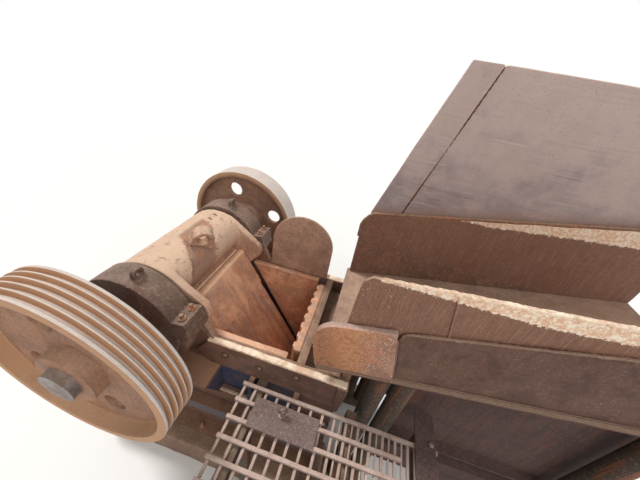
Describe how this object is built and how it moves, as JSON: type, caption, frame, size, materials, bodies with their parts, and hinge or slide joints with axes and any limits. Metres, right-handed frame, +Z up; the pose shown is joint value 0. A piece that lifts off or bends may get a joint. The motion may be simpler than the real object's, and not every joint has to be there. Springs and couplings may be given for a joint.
{
  "type": "jaw crusher with feed chute and walkway",
  "caption": "Dusty single-toggle jaw crusher with its flywheels, a plate feed chute and a walkway grating beside it.",
  "frame": {"origin": "on the ground under the middle of the shaft, on the plinth's underside", "axes": "+X from the shaft towards the feed chute, +Y along the shaft away from the walkway, +Z up"},
  "size_m": [3.4703, 2.362, 2.95],
  "materials": {
    "concrete": "matt",
    "frame_paint": "dusty",
    "worn_steel": "worn",
    "housing_iron": "dusty",
    "pitman_iron": "dusty",
    "rusty_steel": "rusty",
    "bare_steel": "dull",
    "wheel_iron": "dusty",
    "dusty_plate": "dusty",
    "grey_plate": "dusty",
    "post_paint": "dusty",
    "grating_steel": "dusty"
  },
  "bodies": {
    "frame": {"plinth_near": "concrete", "plinth_far": "concrete", "plinth_rear": "concrete", "side_frame_near": "frame_paint", "side_frame_far": "frame_paint", "front_frame": "frame_paint", "rear_frame": "frame_paint", "cheek_plate_near": "worn_steel", "cheek_plate_far": "worn_steel", "fixed_jaw_plate": "worn_steel", "bearing_housing_near": "housing_iron", "bearing_housing_far": "housing_iron", "bearing_cap_near": "housing_iron", "bearing_cap_far": "housing_iron", "toggle_block": "housing_iron", "toggle_plate": "housing_iron", "guard_plate": "dusty_plate", "chute_bearer": "frame_paint", "chute_floor": "dusty_plate", "chute_wall_near_front": "rusty_steel", "chute_wall_near_rear": "dusty_plate", "chute_top_near_front": "dusty_plate", "chute_top_near_rear": "dusty_plate", "chute_wall_far": "dusty_plate", "chute_apron_front": "grey_plate", "chute_apron_rear": "grey_plate", "chute_post_near_front": "post_paint", "chute_post_near_rear": "post_paint", "chute_post_far_front": "post_paint", "chute_post_far_rear": "post_paint", "chute_skirt_near": "rusty_steel", "chute_skirt_far": "rusty_steel", "walkway_grating": "grating_steel", "walkway_bearers": "post_paint", "walkway_posts": "post_paint", "walkway_plate": "grating_steel", "walkway_strap": "dusty_plate"},
    "shaft_body": {"shaft": "bare_steel", "flywheel": "wheel_iron", "drive_wheel": "wheel_iron"},
    "pitman_body": {"pitman": "pitman_iron", "moving_jaw_plate": "worn_steel", "jaw_clamp_bar": "worn_steel", "lifting_lug": "rusty_steel", "tension_rod": "bare_steel", "tension_spring": "bare_steel"}
  },
  "joints": [
    {"name": "shaft_spin", "type": "hinge", "parent": "frame", "child": "shaft_body", "pos_m": [0, 0, 1.5], "axis": [0, 1, 0], "continuous": true},
    {"name": "jaw_swing", "type": "hinge", "parent": "frame", "child": "pitman_body", "pos_m": [0, 0, 1.5], "axis": [0, -1, 0], "range_deg": [0, 1.2]}
  ]
}
